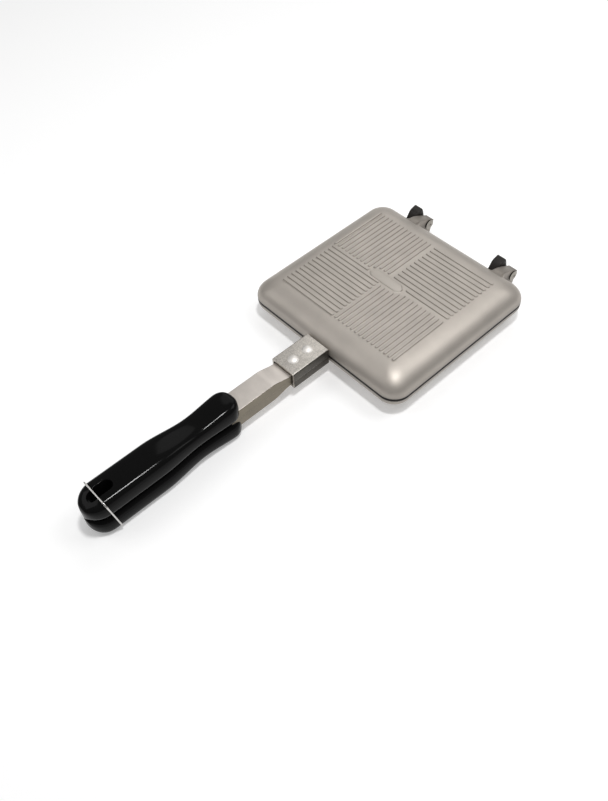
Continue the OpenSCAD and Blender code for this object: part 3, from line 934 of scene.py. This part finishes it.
class IRON_OT_pins(bpy.types.Operator):
    """Builds the two hinge pins with their domed heads"""
    bl_idname = "iron.pins"
    bl_label = "Hinge pins"

    def execute(self, context):
        hinge, finish = context.scene.iron_hinge, context.scene.iron_finish
        bright = bright_steel(finish.pin, "cold_headed_steel")
        # The heads' upright walls take a near black colour: a painted shade beside the heads
        wall_shade = plated_sheet(finish.pin_wall_shade, "shaded_pin_wall_steel")
        half_l = hinge.lug_gap / 2 + hinge.lug_w
        crown = half_l + hinge.head_t
        profile = [(0.02, crown - 0.8), (DIMPLE_R * 0.7, crown - 0.7), (DIMPLE_R, crown - 0.15)]
        profile += [(r, half_l + PIN_WALL + z)
                    for r, z in dome_profile(hinge.head_r, hinge.head_t - PIN_WALL)
                    if r > DIMPLE_R]
        profile += [(hinge.head_r, half_l + 0.02), (hinge.pin_r, half_l + 0.01)]
        profile += [(r, -z) for r, z in profile[::-1]]
        for side, x in (("left", -hinge.middle_x), ("right", hinge.middle_x)):
            mesh = bmesh.new()
            add_turned(mesh, profile)
            place = (Matrix.Translation((x, PIN_Y, PARTING_Z))
                     @ Matrix.Rotation(math.pi / 2, 4, "Y"))
            piece = new_piece(side + "_domed_pin", mesh, place, (bright, wall_shade), pick=on_shaded_wall)
            dress(piece, "lower_half", side + "_hinge_pin")
        return {"FINISHED"}


# ---- grips -------------------------------------------------------------------

GRIP_H = FACE_Z - 0.1   # height of a grip over the parting plane
NOSE_R = 9.5            # plan radius of the front end
BUTT_R = 12.5           # plan radius of the butt
NOSE_DROP = 5           # how far the outer side comes down at the front end
BUTT_DROP = 9           # and at the butt
NOSE_TAPER = 26         # length of the waist's slope to the front
BUTT_TAPER = 31         # and to the butt
BOX_POWER = 4.1         # how square the outer side of a grip's section is
GRIP_STATIONS = 90
GRIP_ARC = 48
SLOT_SOFT = 0.7         # radius of the hanging slot's mouth
SCREW_R = 3.8           # radius of the screw's recess
SCREW_T = 3.2           # depth of the screw's recess


def round_in(s, radius):
    """How far a rounded end has opened at the distance s from its tip, 0 to 1."""
    return 1.0 if s >= radius else math.sqrt(max(0.0, 1 - (1 - s / radius) ** 2))


def latch_seat(latch):
    """Place of the pivot, distance of the seat from it, and place of the bar along Y."""
    pivot_y = GRIP_LOW.y + latch.pivot_in
    pivot_z = -GRIP_H + latch.pivot_h
    seat = (GRIP_H - latch.seat_t - pivot_z) / math.cos(latch.lean)
    return pivot_y, pivot_z, seat, pivot_y - (seat + latch.wire_r) * math.sin(latch.lean)


def grip_section(grips, y, top_limit):
    """A section of a grip: small round edges at the parting side, a squarish curve
    outside."""
    s = GRIP_HIGH.y + grips.nose - y
    to_butt = y - GRIP_LOW.y
    wide = grips.waist_w + (grips.front_w - grips.waist_w) * smooth_step(
        (grips.waist_y - s) / (grips.waist_y - NOSE_R / 2))
    wide += (grips.rear_w - grips.waist_w) * smooth_step((s - grips.waist_y) / BUTT_TAPER)
    wide = max(0.35, wide * round_in(s, NOSE_R) * round_in(to_butt, BUTT_R))
    taper = BUTT_TAPER if s > grips.waist_y else NOSE_TAPER
    high = GRIP_H - grips.waist_dip * smooth_step(1 - abs(s - grips.waist_y) / taper)
    high -= NOSE_DROP * (1 - round_in(s, NOSE_DROP))
    high -= BUTT_DROP * (1 - round_in(to_butt, BUTT_DROP))
    high = min(high, top_limit)
    edge = min(grips.edge_r, wide * 0.9)
    mid = grips.gap / 2 + edge
    ring = [(wide - edge + a, y, mid + b) for a, b in arc_points(edge, -90, 0, 5)]
    for k in range(1, GRIP_ARC):
        a = math.pi * k / GRIP_ARC
        across = math.copysign(abs(math.cos(a)) ** (2 / BOX_POWER), math.cos(a))
        ring.append((wide * across, y, mid + (high - mid) * math.sin(a) ** (2 / BOX_POWER)))
    ring += [(edge - wide + a, y, mid + b) for a, b in arc_points(edge, 180, 270, 5)]
    return ring


def add_stadium(mesh, half_l, radius, y, levels):
    """An upright prism with round ends at y, through levels (growth of the radius, z)."""
    rings = []
    for grow, z in levels:
        rings.append([(a, y + half_l + b, z) for a, b in arc_points(radius + grow, 0, 180, 16)]
                     + [(a, y - half_l + b, z)
                        for a, b in arc_points(radius + grow, 180, 360, 16)])
    add_loft(mesh, rings)


def grip_cutters(half, grips, steel):
    """What is cut out of a grip: the hanging slot with a soft edge, the mouth round the
    shank, the slot for the tang, and the screw's recess."""
    slot_y = GRIP_LOW.y + grips.slot_in
    tang_top = SHANK_HIGH.z - PARTING_Z + FIT
    mouth = (SHANK_HIGH.x - SHANK_LOW.x) / 2 + FIT
    tang = steel.tang_w / 2 + FIT
    screw_low, screw_high = node_mm("upper_grip_screw")
    screw_y = (screw_low.y + screw_high.y) / 2
    levels = [(0, -1)]
    for a in (0, 25, 50, 75):
        levels.append((SLOT_SOFT * (1 - math.cos(math.radians(a))),
                       GRIP_H - SLOT_SOFT + SLOT_SOFT * math.sin(math.radians(a))))
    levels.append((SLOT_SOFT, GRIP_H + 1.5))
    cutters = []

    def add_cutter(name, draw, *sizes):
        """Draws a cutter into a mesh of its own."""
        mesh = bmesh.new()
        draw(mesh, *sizes)
        cutters.append(new_piece(name, mesh, half_matrix(half), ()))

    add_cutter("slot_cutter", add_stadium, (grips.slot_l - grips.slot_w) / 2,
               grips.slot_w / 2, slot_y, levels)
    add_cutter("mouth_cutter", add_box, (-mouth, GRIP_HIGH.y - TANG_IN - 1, -1),
               (mouth, GRIP_HIGH.y + 6, tang_top))
    add_cutter("tang_cutter", add_box, (-tang, SHANK_LOW.y - FIT, tang_top - steel.sheet - 2 * FIT),
               (tang, GRIP_HIGH.y - TANG_IN, tang_top))
    # The recess is round: its straight sides are next to nothing
    add_cutter("screw_cutter", add_stadium, 0.001, SCREW_R, screw_y, [(0, -1), (0, SCREW_T)])
    return cutters


class IRON_OT_grips(bpy.types.Operator):
    """Builds the two moulded grips with the hanging slot and the latch's seat"""
    bl_idname = "iron.grips"
    bl_label = "Grips"

    def execute(self, context):
        scene = context.scene
        grips, latch, steel = scene.iron_grips, scene.iron_latch, scene.iron_steel
        black = moulded_phenolic(scene.iron_finish.grip)
        front_y = GRIP_HIGH.y + grips.nose
        whole = front_y - GRIP_LOW.y
        pivot_y, pivot_z, seat, bar_y = latch_seat(latch)
        wall_y = bar_y + latch.wire_r + 0.3
        stations = [front_y - whole * (1 - math.cos(math.pi * i / GRIP_STATIONS)) / 2
                    for i in range(GRIP_STATIONS + 1)]
        for half in HALVES:
            has_seat = half == "upper"
            wall = [wall_y + 0.12, wall_y - 0.12] if has_seat else []
            rings = []
            for y in sorted(stations + wall, reverse=True):
                limit = FACE_Z
                if has_seat and y < wall_y:
                    limit = pivot_z + math.sqrt(seat ** 2 - (y - pivot_y) ** 2)
                rings.append(grip_section(grips, y, limit))
            mesh = bmesh.new()
            add_loft(mesh, rings)
            piece = new_piece(half + "_moulded_grip", mesh, half_matrix(half), (black,))
            cut(piece, grip_cutters(half, grips, steel), 32)
            dress(piece, half + "_half", half + "_grip")
        return {"FINISHED"}


# ---- latch -------------------------------------------------------------------

WIRE_STEPS = 16
WIRE_IN = 4.6           # how far the wire's bent-in ends reach into the lower grip


def add_wire(mesh, path, radius):
    """A round wire along a path of points in one plane across Y."""
    side = Vector((0, 1, 0))
    turns = [2 * math.pi * k / WIRE_STEPS for k in range(WIRE_STEPS)]
    rings = []
    for i, middle in enumerate(path):
        before, after = path[max(0, i - 1)], path[min(len(path) - 1, i + 1)]
        along = (Vector(after) - Vector(before)).normalized()
        up = along.cross(side).normalized()
        rings.append([Vector(middle) + radius * (math.cos(a) * side + math.sin(a) * up)
                      for a in turns])
    add_loft(mesh, rings, inward=True)


class IRON_OT_latch(bpy.types.Operator):
    """Builds the wire latch that holds the grips together"""
    bl_idname = "iron.latch"
    bl_label = "Wire latch"

    def execute(self, context):
        scene = context.scene
        grips, latch = scene.iron_grips, scene.iron_latch
        pivot_y, pivot_z, seat, _ = latch_seat(latch)
        reach = seat + latch.wire_r + latch.clearance
        leg_x = grips.rear_w + latch.clearance + latch.wire_r
        bend, wide = latch.bend_r, latch.bar_bend_r
        side = [(leg_x - bend - WIRE_IN, 0, 0)]
        side += [(leg_x - bend + a, 0, bend + b) for a, b in arc_points(bend, -90, 0, 8)]
        side += [(leg_x, 0, reach * i / 12) for i in range(2, 9)]
        side += [(leg_x - wide + a, 0, reach - wide + b) for a, b in arc_points(wide, 0, 90, 8)]
        path = side + [(x, 0, reach) for x in (6, 3, 0, -3, -6)]
        path += [(-x, y, z) for x, y, z in side[::-1]]
        mesh = bmesh.new()
        add_wire(mesh, path, latch.wire_r)
        place = (Matrix.Translation((0, pivot_y, PARTING_Z + pivot_z))
                 @ Matrix.Rotation(latch.lean, 4, "X"))
        piece = new_piece("bent_wire_latch", mesh, place,
                          (drawn_wire(scene.iron_finish.wire),), 60)
        dress(piece, "latch", "wire_latch")
        return {"FINISHED"}


class IRON_OT_screws(bpy.types.Operator):
    """Gives the grip screws of the frame their finish"""
    bl_idname = "iron.screws"
    bl_label = "Grip screws"

    def execute(self, context):
        bright = bright_steel(context.scene.iron_finish.rivet)
        for half in HALVES:
            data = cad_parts[half + "_grip_screw"].data
            data.materials.clear()
            data.materials.append(bright)
        return {"FINISHED"}


# ---- stage -------------------------------------------------------------------

SKY = 0.27              # strength of the dim surroundings
FLOOR_HALF = 3000       # half the floor's side
FLOOR_Z = (-12.0, -0.05)    # its underside and its top, just clear of the iron

# Name, place, the point that it faces, side of the lamp, and watts
LAMPS = (
    ("key_lamp", (150, -60, 1000), (0, -60, 0), 105, 4.2),
    ("back_lamp", (-575, 700, 840), (0, 0, 0), 900, 2.6),
    ("right_lamp", (320, 480, 860), (0, 0, 0), 460, 2.1),
    ("left_lamp", (-520, -620, 740), (0, 0, 0), 500, 1.2),
)


def add_lamp(name, place, aim, size, watts):
    """A soft square white lamp at a place in millimetres, turned to a point."""
    data = bpy.data.lights.new(name, "AREA")
    data.energy = watts
    data.size = size * MM
    lamp = bpy.data.objects.new(name, data)
    lamp.location = Vector(place) * MM
    lamp.rotation_euler = (Vector(aim) - Vector(place)).to_track_quat("-Z", "Y").to_euler()
    bpy.context.scene.collection.objects.link(lamp)


def camera_matrix(stage):
    """The camera's place and turn: aimed at a point, then rolled."""
    place, aim = Vector(stage.camera_at) * MM, Vector(stage.camera_aim) * MM
    forward = (aim - place).normalized()
    right = forward.cross(Vector((0, 0, 1))).normalized()
    up = right.cross(forward)
    c, s = math.cos(stage.camera_roll), math.sin(stage.camera_roll)
    right, up = c * right + s * up, c * up - s * right
    turn = Matrix((right, up, -forward)).transposed().to_4x4()
    return Matrix.Translation(place) @ turn


class IRON_OT_stage(bpy.types.Operator):
    """Sets the camera, the pale floor, the soft lamps and the dim surroundings"""
    bl_idname = "iron.stage"
    bl_label = "Stage"

    def execute(self, context):
        scene = context.scene
        stage = scene.iron_stage
        data = bpy.data.cameras.new("photo_camera")
        data.lens = stage.lens
        data.sensor_width = 36
        data.shift_x = stage.lens_shift
        camera = bpy.data.objects.new("photo_camera", data)
        camera.matrix_world = camera_matrix(stage)
        scene.collection.objects.link(camera)
        scene.camera = camera

        mesh = bmesh.new()
        add_box(mesh, (-FLOOR_HALF, -FLOOR_HALF, FLOOR_Z[0]), (FLOOR_HALF, FLOOR_HALF, FLOOR_Z[1]))
        new_piece("floor", mesh, Matrix.Identity(4),
                           (floor_paper(scene.iron_finish.floor),))
        for lamp in LAMPS:
            add_lamp(*lamp)

        world = bpy.data.worlds.new("studio")
        world.use_nodes = True
        tree = world.node_tree
        tree.nodes.clear()
        sky = add_node(tree, "ShaderNodeBackground", None,
                       {"Color": WHITE, "Strength": SKY})
        add_node(tree, "ShaderNodeOutputWorld", None, {"Surface": sky.outputs["Background"]})
        scene.world = world
        scene.view_settings.view_transform = "Standard"
        return {"FINISHED"}


# ---- panel and registration --------------------------------------------------

# In the order in which the main function calls them
OPERATORS = (IRON_OT_stage, IRON_OT_shells, IRON_OT_brackets, IRON_OT_shanks, IRON_OT_rivets,
             IRON_OT_pins, IRON_OT_grips, IRON_OT_latch, IRON_OT_screws)


class IRON_PT_panel(bpy.types.Panel):
    """Lists the sizes, the colours and the pieces"""
    bl_idname = "IRON_PT_panel"
    bl_label = "Toasting Iron"
    bl_space_type = "VIEW_3D"
    bl_region_type = "UI"
    bl_category = "Toasting Iron"

    def draw(self, context):
        for group in GROUPS:
            box = self.layout.box()
            values = getattr(context.scene, group)
            for name in values.bl_rna.properties.keys():
                if name not in ("rna_type", "name"):
                    box.prop(values, name)
        for operator in OPERATORS:
            self.layout.operator(operator.bl_idname)


def register():
    """Adds the sizes and colours to the scene, and the operators and the panel."""
    for group, kind in GROUPS.items():
        bpy.utils.register_class(kind)
        setattr(bpy.types.Scene, group, bpy.props.PointerProperty(type=kind))
    for kind in OPERATORS + (IRON_PT_panel,):
        bpy.utils.register_class(kind)


def unregister():
    """Takes away what register adds."""
    for kind in reversed(OPERATORS + (IRON_PT_panel,)):
        bpy.utils.unregister_class(kind)
    for group, kind in GROUPS.items():
        delattr(bpy.types.Scene, group)
        bpy.utils.unregister_class(kind)


def main():
    """Builds every piece and the stage."""
    register()
    for kind in OPERATORS:
        group, name = kind.bl_idname.split(".")
        getattr(getattr(bpy.ops, group), name)()


if __name__ == "__main__":
    main()
